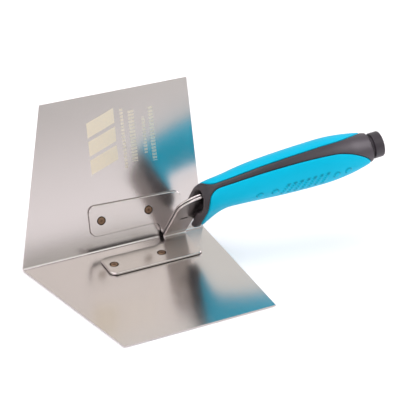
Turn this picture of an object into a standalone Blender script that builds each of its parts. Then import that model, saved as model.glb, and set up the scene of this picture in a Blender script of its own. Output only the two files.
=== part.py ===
"""Inside corner trowel.

A folded stainless blade carries two riveted brackets.  Their tangs stand back to back in the
plane that halves the corner, and run into an overmoulded handle with a hollow collar, a finger
guard and a plug in its rear end.

Everything is modelled in the corner frame: X runs along the fold from toe to heel, Y crosses the
handle towards the upright wing, and Z points out of the corner, midway between the wings.  One
empty then turns the corner frame so that the lower wing lies flat with its underside at Z = 0.
"""
from math import atan, cos, hypot, pi, radians, sin, tan

import bmesh
import bpy
from mathutils import Matrix, Vector

MM = 0.001
GAP = 0.2 * MM                      # clearance between touching pieces

# Blade: one sheet, folded
BLADE_LENGTH = 127 * MM
WING_WIDTH = 102 * MM
CORNER_ANGLE = radians(103)
SHEET = 0.7 * MM
FOLD_RADIUS = 2.0 * MM
FOLD_STEPS = 8
TOE_TAPER = 24 * MM                 # how far the toe end slants back at a wing's outer edge
HEEL_TAPER = 2.5 * MM
HALF_CORNER = CORNER_ANGLE / 2

# Brackets: a flange on each wing, folded up into a tang
PLATE = 1.5 * MM
PLATE_FOLD_RADIUS = 1.0 * MM
FLANGE_START = 47.5 * MM
FLANGE_END = 112 * MM
FLANGE_NEAR = 10.5 * MM             # distance of the flange's edges from the corner line
FLANGE_FAR = {1: 31.2 * MM, -1: 31.0 * MM}
FLANGE_DROP = {1: 2.2 * MM, -1: 0.2 * MM}       # how much nearer the far edge is at the heel
FLANGE_CORNER = 4.5 * MM
NECK_START = 96 * MM
TANG_LEAN = radians(6.5)
TANG_TURN_CENTRE = (109.0 * MM, 44.8 * MM)
TANG_TURN_RADIUS = 16.3 * MM
TANG_SLOPE = radians(13)            # rise of the tang inside the handle
TANG_TIP = 168 * MM
TANG_TIP_WIDTH = 9 * MM
TANG_INNER_CORNER = (113 * MM, 46.5 * MM)
CURVE_STEPS = 7

# Rivets: flush on both sides
RIVET_RADIUS = 2.9 * MM
RIVET_ALONG = (54.4 * MM, 87.5 * MM)
RIVET_ACROSS = 20.6 * MM
RIVET_SHIFT = 0.9 * MM              # the upper pair sits this much nearer the heel, the lower less
ROUND_STEPS = 32

# Handle: sections across X.  Columns: place along X, bottom, widest height, top, half width,
# squareness of the lower half, lean of the section (all but the last two in millimetres)
HANDLE_SECTIONS = (
    (106.2, 23.5, 50.0, 65.2, 9.3, 4.2, 0.09),
    (108.0, 22.5, 52.0, 68.6, 9.7, 4.2, 0.09),
    (111.0, 23.0, 54.5, 71.7, 9.7, 3.8, 0.07),
    (114.0, 28.5, 57.5, 73.6, 9.6, 3.0, 0.05),
    (117.5, 38.5, 60.0, 74.9, 9.6, 2.5, 0.03),
    (122.0, 45.5, 62.2, 76.4, 9.9, 2.2, 0.02),
    (130.0, 49.0, 65.0, 79.3, 10.8, 2.2, 0.04),
    (141.0, 51.5, 67.0, 82.9, 11.8, 2.2, 0.08),
    (158.0, 54.0, 68.8, 87.0, 12.9, 2.2, 0.12),
    (175.0, 57.0, 71.2, 90.0, 13.6, 2.2, 0.16),
    (190.0, 60.5, 73.8, 91.6, 13.8, 2.2, 0.19),
    (202.5, 64.5, 76.4, 90.6, 12.8, 2.2, 0.20),
    (212.0, 68.5, 78.6, 88.7, 11.2, 2.2, 0.20),
    (218.8, 71.0, 79.9, 87.4, 9.5, 2.1, 0.20),
)
HANDLE_START = HANDLE_SECTIONS[0][0] * MM
HANDLE_END = HANDLE_SECTIONS[-1][0] * MM
HANDLE_LOOPS = 26
HANDLE_ROUND = 36
UPPER_SQUARENESS = 2.0

# Grip: the soft skin wraps the sides and the finger side and leaves a stripe along the palm side
GRIP_THICK = 2.2 * MM
GRIP_PROUD = 0.2 * MM
GRIP_GAP = 0.4 * MM                 # the skin's facets bow towards the core's
GRIP_FRONT = 108.8 * MM
GRIP_FRONT_ROUND = 5.5 * MM
GRIP_GUARD_SETBACK = 4.8 * MM       # the skin starts behind the slot on the finger side
GRIP_GUARD_SHARE = 0.5
GRIP_REAR = 190 * MM
GRIP_REAR_ROUND = 27 * MM
STRIPE_HALF_ANGLE = radians(12)
STRIPE_WIDEN_ANGLE = radians(5)     # extra half angle gained towards the rear
GRIP_STEPS_ALONG = 20
GRIP_STEPS_ROUND = 24

# Collar: hollow hood above, open slot through the finger guard below
HOOD_DEPTH = 17 * MM
HOOD_BOTTOM = 39 * MM
HOOD_MIDDLE = 50.8 * MM
HOOD_TOP = 63.0 * MM
HOOD_HALF_WIDTH = 6.7 * MM
GUARD_SLOT_HALF_WIDTH = 3.8 * MM
GUARD_SLOT_END = 111.6 * MM

# Rear plug: a head with a groove behind the rim and a stem in the core's bore
PLUG_AXIS_SLOPE = atan(0.2)
PLUG_STEM_RADIUS = 5.0 * MM
PLUG_STEM_LENGTH = 14 * MM
PLUG_NECK_RADIUS = 6.8 * MM
PLUG_NECK_LENGTH = 1.6 * MM
PLUG_HEAD_RADIUS = 8.4 * MM
PLUG_HEAD_LENGTH = 6.4 * MM
PLUG_DOME = 1.0 * MM

STEEL = (0.62, 0.60, 0.59, 1.0)
RIVET_BRONZE = (0.16, 0.11, 0.08, 1.0)
GRIP_BLUE = (0.0, 0.47, 0.78, 1.0)
CORE_BLACK = (0.07, 0.065, 0.068, 1.0)


def clear_scene():
    for item in list(bpy.data.objects):
        bpy.data.objects.remove(item, do_unlink=True)


def make_material(name, colour, metallic, roughness):
    material = bpy.data.materials.new(name)
    material.use_nodes = True
    shader = material.node_tree.nodes["Principled BSDF"]
    shader.inputs["Base Color"].default_value = colour
    shader.inputs["Metallic"].default_value = metallic
    shader.inputs["Roughness"].default_value = roughness
    return material


def make_object(name, bm, parent, material=None):
    """Close the bmesh into an object under the corner frame, with its faces pointing out."""
    bmesh.ops.recalc_face_normals(bm, faces=bm.faces)
    mesh = bpy.data.meshes.new(name)
    bm.to_mesh(mesh)
    bm.free()
    item = bpy.data.objects.new(name, mesh)
    bpy.context.collection.objects.link(item)
    item.parent = parent
    if material:
        mesh.materials.append(material)
        mesh.shade_smooth()
        mesh.set_sharp_from_angle(angle=radians(35))
    else:
        item.hide_render = True
        item.display_type = "WIRE"
    return item


def cut(item, *cutters):
    for cutter in cutters:
        boolean = item.modifiers.new(cutter.name, "BOOLEAN")
        boolean.operation = "DIFFERENCE"
        boolean.solver = "EXACT"
        boolean.object = cutter


def corner_frame():
    """The empty that lays the lower wing flat and centres its underside on the origin."""
    frame = bpy.data.objects.new("corner_frame", None)
    bpy.context.collection.objects.link(frame)
    frame.location = (-BLADE_LENGTH / 2, WING_WIDTH / 2, SHEET)
    frame.rotation_euler = (pi / 2 - HALF_CORNER, 0, 0)
    return frame


def wing_outward(side):
    return Vector((0, side * sin(HALF_CORNER), cos(HALF_CORNER)))


def wing_normal(side):
    """Points from a wing into the corner."""
    return Vector((0, -side * cos(HALF_CORNER), sin(HALF_CORNER)))


def on_wing(side, along, across, height=0.0):
    return Vector((along, 0, 0)) + wing_outward(side) * across + wing_normal(side) * height


# ---------------------------------------------------------------- blade

def blade_section():
    """Inner face of the folded sheet across X, from the lower edge to the upper one."""
    centre = FOLD_RADIUS / sin(HALF_CORNER)
    sweep = pi / 2 - HALF_CORNER
    arc = []
    for step in range(FOLD_STEPS + 1):
        angle = sweep * (2 * step / FOLD_STEPS - 1)
        arc.append(Vector((0, FOLD_RADIUS * sin(angle), centre - FOLD_RADIUS * cos(angle))))
    return [wing_outward(-1) * WING_WIDTH, *arc, wing_outward(1) * WING_WIDTH]


def make_blade(parent, material):
    bm = bmesh.new()
    toe = []
    for point in blade_section():
        share = point.length / WING_WIDTH
        toe.append((bm.verts.new(point + Vector((TOE_TAPER * share, 0, 0))), share))
    edges = [bm.edges.new((a[0], b[0])) for a, b in zip(toe, toe[1:])]
    heel = bmesh.ops.extrude_edge_only(bm, edges=edges)["geom"]
    for vert in heel:
        if isinstance(vert, bmesh.types.BMVert):
            share = hypot(vert.co.y, vert.co.z) / WING_WIDTH
            vert.co.x = BLADE_LENGTH - HEEL_TAPER * share
    blade = make_object("blade", bm, parent, material)
    sheet = blade.modifiers.new("sheet", "SOLIDIFY")
    sheet.thickness = SHEET
    sheet.use_even_offset = True
    outside = blade.data.polygons[0].normal.dot(wing_normal(-1)) < 0
    sheet.offset = 1 if outside else -1
    return blade


# ---------------------------------------------------------------- brackets

def arc_points(centre, radius, start, end, steps):
    points = []
    for step in range(steps + 1):
        angle = start + (end - start) * step / steps
        points.append((centre[0] + radius * cos(angle), centre[1] + radius * sin(angle)))
    return points


def tang_outline(base, grow=0.0):
    """Tang outline in the plane of X and Z, from the neck's toe side round to its heel side."""
    lean = pi - TANG_LEAN * 0.9
    top = pi / 2 + TANG_SLOPE
    toe_side = (NECK_START - grow, base)
    outer = arc_points(TANG_TURN_CENTRE, TANG_TURN_RADIUS + grow, lean, top, CURVE_STEPS)
    run = TANG_TIP + grow - outer[-1][0]
    tip_top = (TANG_TIP + grow, outer[-1][1] + run * tan(TANG_SLOPE))
    tip_bottom = (TANG_TIP + grow, tip_top[1] - TANG_TIP_WIDTH - 2 * grow)
    inner = (TANG_INNER_CORNER[0], TANG_INNER_CORNER[1] - grow)
    heel_top = (TANG_INNER_CORNER[0] - 3 * MM + grow, TANG_INNER_CORNER[1] - 4 * MM)
    heel_side = (FLANGE_END + grow, base)
    return [toe_side, *outer, tip_top, tip_bottom, inner, heel_top, heel_side]


def flange_outline(side, fold):
    """Flange outline as (along, across), from the neck's heel side round to its toe side."""
    far = FLANGE_FAR[side] - FLANGE_CORNER
    drop = FLANGE_DROP[side]
    near = FLANGE_NEAR + FLANGE_CORNER
    notch = FLANGE_NEAR - fold
    outline = [(FLANGE_END, fold)]
    outline += arc_points((FLANGE_END - FLANGE_CORNER, far - drop), FLANGE_CORNER, 0, pi / 2, 5)
    outline += arc_points((FLANGE_START + FLANGE_CORNER, far), FLANGE_CORNER, pi / 2, pi, 5)
    outline += arc_points((FLANGE_START + FLANGE_CORNER, near), FLANGE_CORNER, pi, 1.5 * pi, 5)
    outline += arc_points((NECK_START - notch, fold), notch, pi / 2, 0, 5)
    return outline


def make_bracket(name, side, parent, material):
    """The face that looks into the corner is drawn flat, folded at the neck and thickened."""
    top = GAP + PLATE
    face = side * (PLATE + GAP / 2)
    rise = top + PLATE_FOLD_RADIUS
    centre_y = face + side * PLATE_FOLD_RADIUS
    across = (rise * cos(HALF_CORNER) + abs(centre_y)) / sin(HALF_CORNER)
    centre = on_wing(side, 0, across, rise)

    bm = bmesh.new()
    tang = [bm.verts.new((x, face, z)) for x, z in tang_outline(centre.z)]
    bm.faces.new(tang)
    fold_edge = bm.edges.get((tang[-1], tang[0]))
    turn = side * (pi - HALF_CORNER)
    swept = bmesh.ops.spin(bm, geom=[fold_edge, tang[0], tang[-1]], cent=centre, axis=(1, 0, 0),
                           dvec=(0, 0, 0), angle=turn, steps=FOLD_STEPS, use_duplicate=False)
    ends = [v for v in swept["geom_last"] if isinstance(v, bmesh.types.BMVert)]
    ends.sort(key=lambda vert: vert.co.x)
    outline = flange_outline(side, across)[1:-1]
    flange = [bm.verts.new(on_wing(side, x, y, top)) for x, y in outline]
    bm.faces.new([ends[1], *flange, ends[0]])
    bmesh.ops.recalc_face_normals(bm, faces=bm.faces)
    bracket = make_object(name, bm, parent, material)
    plate = bracket.modifiers.new("plate", "SOLIDIFY")
    plate.thickness = PLATE
    plate.use_even_offset = True
    flat = max(bracket.data.polygons, key=lambda polygon: polygon.area)
    towards_corner = flat.normal.dot(Vector((0, side, 0))) > 0
    if abs(flat.normal.y) < 0.99:
        towards_corner = flat.normal.dot(wing_normal(side)) > 0
    plate.offset = -1 if towards_corner else 1
    return bracket


# ---------------------------------------------------------------- rivets

def make_rod(name, radius, start, end, parent, material=None):
    axis = end - start
    turn = axis.to_track_quat("Z", "Y").to_matrix().to_4x4()
    place = Matrix.Translation((start + end) / 2) @ turn
    bm = bmesh.new()
    bmesh.ops.create_cone(bm, cap_ends=True, segments=ROUND_STEPS, radius1=radius,
                          radius2=radius, depth=axis.length, matrix=place)
    return make_object(name, bm, parent, material)


def make_rivets(parent, material, blade, brackets):
    for word, side in (("upper", 1), ("lower", -1)):
        for end, along in zip(("toe", "heel"), RIVET_ALONG):
            place = along + side * RIVET_SHIFT
            low = on_wing(side, place, RIVET_ACROSS, -SHEET)
            high = on_wing(side, place, RIVET_ACROSS, GAP + PLATE)
            make_rod(f"rivet_{word}_{end}", RIVET_RADIUS, low, high, parent, material)
            reach = wing_normal(side) * PLATE
            hole = make_rod(f"cut_rivet_{word}_{end}", RIVET_RADIUS + GAP, low - reach,
                            high + reach, parent)
            cut(blade, hole)
            cut(brackets[side], hole)


# ---------------------------------------------------------------- handle

def section_at(along):
    """Section values at a place along X, blended smoothly between the listed sections."""
    rows = HANDLE_SECTIONS
    spot = min(max(along / MM, rows[0][0]), rows[-1][0])
    index = max(i for i in range(len(rows) - 1) if rows[i][0] <= spot)
    left, right = rows[index], rows[index + 1]
    before, after = rows[max(index - 1, 0)], rows[min(index + 2, len(rows) - 1)]
    width = right[0] - left[0]
    t = (spot - left[0]) / width
    values = []
    for column in range(1, 7):
        slope_left = (right[column] - before[column]) / (right[0] - before[0]) * width
        slope_right = (after[column] - left[column]) / (after[0] - left[0]) * width
        value = (2 * t**3 - 3 * t**2 + 1) * left[column] + (t**3 - 2 * t**2 + t) * slope_left
        value += (3 * t**2 - 2 * t**3) * right[column] + (t**3 - t**2) * slope_right
        values.append(value)
    bottom, middle, top, half_width, lower_squareness, lean = values
    return bottom * MM, middle * MM, top * MM, half_width * MM, lower_squareness, lean


def handle_point(along, angle, inset=0.0):
    """Point on the handle's skin; the angle starts at the palm side and inset goes inwards."""
    bottom, middle, top, half_width, squareness, lean = section_at(along)
    up, across = cos(angle), sin(angle)
    power = 2 / (UPPER_SQUARENESS if up >= 0 else squareness)
    height = (top - middle if up >= 0 else middle - bottom) - inset
    rise = height * abs(up) ** power * (1 if up >= 0 else -1)
    side = (half_width - inset) * abs(across) ** power * (1 if across >= 0 else -1)
    return Vector((along - rise * lean, side, middle + rise))


def loft(place, loops, around):
    """Extrude a ring from loop to loop; place(loop, angle) says where each vertex goes."""
    bm = bmesh.new()
    angles = bm.verts.layers.float.new("angle")
    ring = bmesh.ops.create_circle(bm, cap_ends=True, segments=around, radius=1)["verts"]
    for index, vert in enumerate(ring):
        vert[angles] = 2 * pi * index / around
        vert.co = place(0, vert[angles])
    edges = [edge for edge in bm.edges if edge.is_boundary or len(edge.link_faces) == 1]
    for loop in range(1, loops):
        grown = bmesh.ops.extrude_edge_only(bm, edges=edges)["geom"]
        for vert in grown:
            if isinstance(vert, bmesh.types.BMVert):
                vert.co = place(loop, vert[angles])
        edges = [e for e in grown if isinstance(e, bmesh.types.BMEdge) and len(e.link_faces) == 1]
    bmesh.ops.contextual_create(bm, geom=edges)
    return bm


def make_core(parent, material):
    def place(loop, angle):
        share = loop / (HANDLE_LOOPS - 1)
        share = 0.45 * share + 0.55 * share**2      # closer loops where the guard flares
        return handle_point(HANDLE_START + (HANDLE_END - HANDLE_START) * share, angle)
    return make_object("handle_core", loft(place, HANDLE_LOOPS, HANDLE_ROUND), parent, material)


def grip_point(along_share, around_share, inset, spread):
    """Point of the grip skin.  around_share is 0 on the finger side and 1 beside the stripe.

    spread moves only the skin's border outwards.
    """
    reach = abs(around_share)
    guard = max(0.0, 1 - (reach / GRIP_GUARD_SHARE) ** 2) ** 2
    front = GRIP_FRONT + GRIP_FRONT_ROUND * (1 - (1 - reach**12) ** 0.5)
    front += GRIP_GUARD_SETBACK * guard
    rear = GRIP_REAR + GRIP_REAR_ROUND * (1 - reach**6) ** 0.5
    along = front + (rear - front) * along_share
    if along_share in (0, 1):
        along += spread if along_share else -spread
    widen = max(0.0, (along - HANDLE_START) / (GRIP_REAR - HANDLE_START)) ** 4
    stripe = STRIPE_HALF_ANGLE + STRIPE_WIDEN_ANGLE * widen
    if reach == 1 or along_share in (0, 1):
        stripe -= spread / section_at(along)[3]
    angle = pi - around_share * (pi - stripe)
    return handle_point(along, angle, inset)


def grip_solid(outside, inside, spread):
    bm = bmesh.new()
    along = bm.verts.layers.float.new("along")
    around = bm.verts.layers.float.new("around")
    inner = bmesh.ops.create_grid(bm, x_segments=GRIP_STEPS_ALONG, y_segments=GRIP_STEPS_ROUND,
                                  size=1)["verts"]
    for vert in inner:
        share = (vert.co.x + 1) / 2
        vert[along] = round(share * (0.35 + 0.65 * share), 5)      # closer rows near the guard
        vert[around] = round(vert.co.y * (1.45 - 0.45 * vert.co.y**2), 5)
    grown = bmesh.ops.extrude_face_region(bm, geom=list(bm.faces))["geom"]
    outer = {v for v in grown if isinstance(v, bmesh.types.BMVert)}
    for vert in bm.verts:
        inset = outside if vert in outer else inside
        vert.co = grip_point(vert[along], vert[around], inset, spread)
    return bm


def make_grip(parent, material, core):
    bm = grip_solid(-GRIP_PROUD, GRIP_THICK, 0)
    grip = make_object("grip_sleeve", bm, parent, material)
    pocket = grip_solid(-2 * MM, GRIP_THICK + GRIP_GAP, GRIP_GAP)
    cut(core, make_object("cut_grip_pocket", pocket, parent))
    return grip


def make_hollows(parent, core):
    """Hood cavity, guard slot and the slot that holds the two tangs."""
    def hood(loop, angle):
        depth = (-4 * MM, 0, 0.6 * HOOD_DEPTH, HOOD_DEPTH)[loop]
        shrink = (1.0, 1.0, 0.86, 0.62)[loop]
        lift = max(depth, 0) * tan(TANG_SLOPE)
        up, across = cos(angle), sin(angle)
        height = HOOD_TOP - HOOD_MIDDLE if up >= 0 else HOOD_MIDDLE - HOOD_BOTTOM
        return Vector((HANDLE_START + depth, HOOD_HALF_WIDTH * shrink * across,
                       HOOD_MIDDLE + lift + height * shrink * up))
    cavity = make_object("cut_hood", loft(hood, 4, 28), parent)

    bm = bmesh.new()
    low, high = HOOD_BOTTOM - 20 * MM, HOOD_MIDDLE - 4 * MM
    front = HANDLE_START - 3 * MM
    size = (GUARD_SLOT_END - front, 2 * GUARD_SLOT_HALF_WIDTH, high - low)
    middle = ((front + GUARD_SLOT_END) / 2, 0, (low + high) / 2)
    bmesh.ops.create_cube(bm, size=1, matrix=Matrix.LocRotScale(middle, None, size))
    slot = make_object("cut_guard_slot", bm, parent)

    bm = bmesh.new()
    half = PLATE + 1.5 * GAP
    outline = [bm.verts.new((x, -half, z)) for x, z in tang_outline(20 * MM, GAP)]
    face = bm.faces.new(outline)
    grown = bmesh.ops.extrude_face_region(bm, geom=[face])["geom"]
    moved = [v for v in grown if isinstance(v, bmesh.types.BMVert)]
    bmesh.ops.translate(bm, verts=moved, vec=(0, 2 * half, 0))
    tang_slot = make_object("cut_tang_slot", bm, parent)
    cut(core, cavity, slot, tang_slot)


def make_end_plug(parent, material, core):
    """Turned plug: stem in the bore, groove behind the rim, rounded head."""
    middle = section_at(HANDLE_END)[1]
    origin = Vector((HANDLE_END, 0, middle))
    turn = Matrix.Translation(origin) @ Matrix.Rotation(pi / 2 - PLUG_AXIS_SLOPE, 4, "Y")
    head_start = GAP + PLUG_NECK_LENGTH
    head_end = head_start + PLUG_HEAD_LENGTH
    soft = 0.8 * MM
    profile = [(0, -PLUG_STEM_LENGTH), (PLUG_STEM_RADIUS, -PLUG_STEM_LENGTH),
               (PLUG_STEM_RADIUS, GAP), (PLUG_NECK_RADIUS, GAP), (PLUG_NECK_RADIUS, head_start),
               (PLUG_HEAD_RADIUS - soft / 2, head_start), (PLUG_HEAD_RADIUS, head_start + soft),
               (PLUG_HEAD_RADIUS, head_end - 2 * soft), (PLUG_HEAD_RADIUS - soft, head_end - soft / 2),
               (PLUG_HEAD_RADIUS / 2, head_end + PLUG_DOME / 2), (0, head_end + PLUG_DOME)]
    bm = bmesh.new()
    verts = [bm.verts.new((radius, 0, height)) for radius, height in profile]
    edges = [bm.edges.new(pair) for pair in zip(verts, verts[1:])]
    bmesh.ops.spin(bm, geom=verts + edges, cent=(0, 0, 0), axis=(0, 0, 1), dvec=(0, 0, 0),
                   angle=2 * pi, steps=ROUND_STEPS, use_merge=True, use_duplicate=False)
    bmesh.ops.remove_doubles(bm, verts=bm.verts, dist=0.01 * MM)
    bmesh.ops.transform(bm, matrix=turn, verts=bm.verts)
    make_object("end_plug", bm, parent, material)
    deep = turn @ Vector((0, 0, -PLUG_STEM_LENGTH - GAP))
    out = turn @ Vector((0, 0, 3 * MM))
    cut(core, make_rod("cut_plug_bore", PLUG_STEM_RADIUS + GAP, deep, out, parent))


def main():
    clear_scene()
    steel = make_material("satin stainless steel", STEEL, 1.0, 0.3)
    bronze = make_material("bronzed rivet", RIVET_BRONZE, 1.0, 0.45)
    blue = make_material("blue soft grip", GRIP_BLUE, 0.0, 0.45)
    black = make_material("black moulded plastic", CORE_BLACK, 0.0, 0.55)
    frame = corner_frame()
    blade = make_blade(frame, steel)
    brackets = {
        1: make_bracket("bracket_upper", 1, frame, steel),
        -1: make_bracket("bracket_lower", -1, frame, steel),
    }
    make_rivets(frame, bronze, blade, brackets)
    core = make_core(frame, black)
    make_grip(frame, blue, core)
    make_hollows(frame, core)
    make_end_plug(frame, black, core)


main()
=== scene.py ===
"""Inside corner trowel: the visible pieces, their finishes and a plain studio round them.

Every piece is modelled in the corner frame: X runs along the fold from toe to heel, Y crosses the
handle towards the upright wing, and Z points out of the corner, midway between the wings.  One
matrix then lays the lower wing flat with its underside at Z = 0.
"""
from math import atan, cos, hypot, pi, radians, sin, tan

import bmesh
import bpy
from bpy.props import FloatProperty, FloatVectorProperty, PointerProperty
from mathutils import Euler, Matrix, Vector


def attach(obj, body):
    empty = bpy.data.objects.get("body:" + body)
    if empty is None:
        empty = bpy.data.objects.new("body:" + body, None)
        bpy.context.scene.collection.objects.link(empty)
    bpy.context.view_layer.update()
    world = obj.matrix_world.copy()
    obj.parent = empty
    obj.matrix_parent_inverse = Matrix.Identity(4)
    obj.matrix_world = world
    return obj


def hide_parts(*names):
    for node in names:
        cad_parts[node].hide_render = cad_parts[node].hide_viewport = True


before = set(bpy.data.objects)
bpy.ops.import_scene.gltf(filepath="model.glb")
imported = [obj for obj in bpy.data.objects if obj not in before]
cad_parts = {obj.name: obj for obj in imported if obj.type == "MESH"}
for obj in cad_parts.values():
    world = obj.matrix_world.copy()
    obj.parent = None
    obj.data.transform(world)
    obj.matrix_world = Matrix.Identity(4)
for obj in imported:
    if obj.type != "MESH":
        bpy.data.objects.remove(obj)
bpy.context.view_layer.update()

bl_info = {
    "name": "Inside Corner Trowel",
    "version": (1, 0, 0),
    "blender": (4, 5, 0),
    "location": "View3D > Sidebar > Trowel",
    "description": "Builds an inside corner trowel with a riveted bracket and a soft grip",
    "category": "Add Mesh",
}

MM = 0.001


def linear(hex_colour):
    """Linear RGBA from an sRGB hex colour."""
    channels = []
    for start in (1, 3, 5):
        value = int(hex_colour[start:start + 2], 16) / 255
        channels.append(value / 12.92 if value <= 0.04045 else ((value + 0.055) / 1.055) ** 2.4)
    return (*channels, 1.0)


def length(name, description, millimetres):
    return FloatProperty(name=name, description=description, default=millimetres * MM,
                         min=0.0, unit="LENGTH", precision=5)


def turn(name, description, degrees):
    return FloatProperty(name=name, description=description, default=radians(degrees),
                         subtype="ANGLE")


def colour(name, description, hex_colour):
    return FloatVectorProperty(name=name, description=description, size=4, subtype="COLOR",
                               min=0.0, max=1.0, default=linear(hex_colour))


class BladeSizes(bpy.types.PropertyGroup):
    fold_length: length("Length", "Length of the fold, toe to heel", 127)
    wing_width: length("Wing width", "From the corner line to a wing's outer edge", 102)
    corner: turn("Corner", "Angle between the two wings", 103)
    sheet: length("Sheet", "Thickness of the blade's sheet", 0.7)
    fold_radius: length("Fold radius", "Inner radius of the fold", 1.4)
    toe_taper: length("Toe taper", "How far the toe end slants back at the outer edge", 24)
    heel_taper: length("Heel taper", "How far the heel end slants back at the outer edge", 2.5)
    edge: length("Edge", "Rounding of the cut edges", 0.18)


class BracketSizes(bpy.types.PropertyGroup):
    plate: length("Plate", "Thickness of the bracket plates", 1.5)
    fold_radius: length("Fold radius", "Inner radius where the tang folds up", 1.0)
    flange_start: length("Flange start", "Toe end of the flanges", 47.5)
    flange_end: length("Flange end", "Heel end of the flanges", 112)
    flange_near: length("Flange near", "From the corner line to the flanges' near edge", 10.5)
    flange_corner: length("Flange corner", "Radius of the flanges' corners", 4.5)
    neck_start: length("Neck start", "Toe side of the neck that joins flange and tang", 96)
    rivet_radius: length("Rivet radius", "Radius of the rivets", 2.9)
    edge: length("Edge", "Rounding of the plate edges", 0.5)


class HandleSizes(bpy.types.PropertyGroup):
    grip_thick: length("Grip thickness", "Thickness of the soft skin", 2.2)
    grip_proud: length("Grip step", "How far the soft skin stands above the core", 0.2)
    grip_edge: length("Grip edge", "Rounding along the soft skin's border", 0.9)
    emboss: length("Emboss", "Height of the raised marks on the grip", 0.6)
    hood_depth: length("Hood depth", "Depth of the hollow hood", 17)
    hood_half_width: length("Hood half width", "Half the width of the hood's mouth", 6.7)
    slot_half_width: length("Slot half width", "Half the width of the slot in the guard", 3.8)
    plug_radius: length("Plug radius", "Radius of the end plug's head", 8.4)


class Finishes(bpy.types.PropertyGroup):
    steel: colour("Blade steel", "Satin stainless sheet", "#CEC8C6")
    plate_steel: colour("Bracket steel", "Tumbled stainless plate", "#CBC5C2")
    etching: colour("Etching", "Etched marks on the upright wing", "#EFE4CC")
    bronze: colour("Rivet bronze", "Darkened rivets", "#8A715C")
    blue: colour("Grip blue", "Soft skin of the grip", "#00B4D6")
    black: colour("Core black", "Moulded core and plug", "#282328")
    floor: colour("Floor", "Studio floor", "#FFFFFF")


# ---------------------------------------------------------------- the corner frame

def scene_sizes():
    scene = bpy.context.scene
    return scene.trowel_blade, scene.trowel_brackets, scene.trowel_handle, scene.trowel_finishes


def corner_place():
    """The matrix that lays the lower wing flat and centres its underside on the origin."""
    blade = bpy.context.scene.trowel_blade
    move = Matrix.Translation((-blade.fold_length / 2, blade.wing_width / 2, blade.sheet))
    return move @ Matrix.Rotation(pi / 2 - blade.corner / 2, 4, "X")


def half_corner():
    return bpy.context.scene.trowel_blade.corner / 2


def wing_outward(side):
    return Vector((0, side * sin(half_corner()), cos(half_corner())))


def wing_normal(side):
    """Points from a wing into the corner."""
    return Vector((0, -side * cos(half_corner()), sin(half_corner())))


def on_wing(side, along, across, height=0.0):
    return Vector((along, 0, 0)) + wing_outward(side) * across + wing_normal(side) * height


# ---------------------------------------------------------------- pieces

def add_object(name, bm, recalculate=True):
    if recalculate:
        bmesh.ops.recalc_face_normals(bm, faces=bm.faces)
    mesh = bpy.data.meshes.new(name)
    bm.to_mesh(mesh)
    bm.free()
    item = bpy.data.objects.new(name, mesh)
    bpy.context.scene.collection.objects.link(item)
    return item


def apply_modifiers(item):
    """Keep the shape that the modifiers give, as the object's own mesh."""
    depsgraph = bpy.context.evaluated_depsgraph_get()
    shaped = bpy.data.meshes.new_from_object(item.evaluated_get(depsgraph))
    item.modifiers.clear()
    item.data = shaped


def cut(item, cutters):
    for cutter in cutters:
        boolean = item.modifiers.new(cutter.name, "BOOLEAN")
        boolean.operation = "DIFFERENCE"
        boolean.solver = "EXACT"
        boolean.object = cutter
    apply_modifiers(item)
    for cutter in cutters:
        bpy.data.objects.remove(cutter, do_unlink=True)


def soften_edges(item, width, segments=3, angle=40):
    bevel = item.modifiers.new("soft edges", "BEVEL")
    bevel.width = width
    bevel.segments = segments
    bevel.limit_method = "ANGLE"
    bevel.angle_limit = radians(angle)
    apply_modifiers(item)


def finish_piece(item, material, node, sharp=35, second=None, is_second=None):
    """Lay the piece in place, shade it, and let it stand for its CAD node.

    is_second tells which faces, in the corner frame, take the second material.
    """
    item.data.materials.clear()
    item.data.materials.append(material)
    if second:
        item.data.materials.append(second)
        for face in item.data.polygons:
            face.material_index = 1 if is_second(face) else 0
    item.data.transform(corner_place())
    item.data.shade_smooth()
    item.data.set_sharp_from_angle(angle=radians(sharp))
    flats = item.modifiers.new("flat faces", "WEIGHTED_NORMAL")
    flats.keep_sharp = True
    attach(item, "root")
    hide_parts(node)


def rod(name, radius, start, end, steps=48):
    axis = end - start
    facing = axis.to_track_quat("Z", "Y").to_matrix().to_4x4()
    bm = bmesh.new()
    bmesh.ops.create_cone(bm, cap_ends=True, segments=steps, radius1=radius, radius2=radius,
                          depth=axis.length, matrix=Matrix.Translation((start + end) / 2) @ facing)
    return add_object(name, bm)


# ---------------------------------------------------------------- materials

def new_material(name):
    material = bpy.data.materials.new(name)
    material.use_nodes = True
    return material, material.node_tree.nodes["Principled BSDF"]


def set_inputs(owner, node, values):
    """Give a node's inputs numbers or links, by name in a dict or else in their order.

    A node given as a value links its first output that is in use.
    """
    if isinstance(values, dict):
        pairs = [(node.inputs[name], value) for name, value in values.items()]
    else:
        pairs = zip([socket for socket in node.inputs if socket.enabled], values)
    for socket, value in pairs:
        if isinstance(value, bpy.types.Node):
            value = next(output for output in value.outputs if output.enabled)
        if isinstance(value, bpy.types.NodeSocket):
            owner.node_tree.links.new(value, socket)
        else:
            socket.default_value = value


def add_node(owner, kind, values=(), **settings):
    """Add a node with its settings, and give its inputs numbers or links."""
    node = owner.node_tree.nodes.new(kind)
    for name, value in settings.items():
        setattr(node, name, value)
    set_inputs(owner, node, values)
    return node


def object_place(material, location=(0, 0, 0), rotation=(0, 0, 0), scale=(1, 1, 1)):
    """Object coordinates, moved and turned so that a pattern lines up with the piece."""
    place = add_node(material, "ShaderNodeTexCoord").outputs["Object"]
    return add_node(material, "ShaderNodeMapping", {"Vector": place, "Location": location,
                                                    "Rotation": rotation, "Scale": scale})


def scaled(tone, share):
    return (tone[0] * share, tone[1] * share, tone[2] * share, 1.0)


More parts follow.
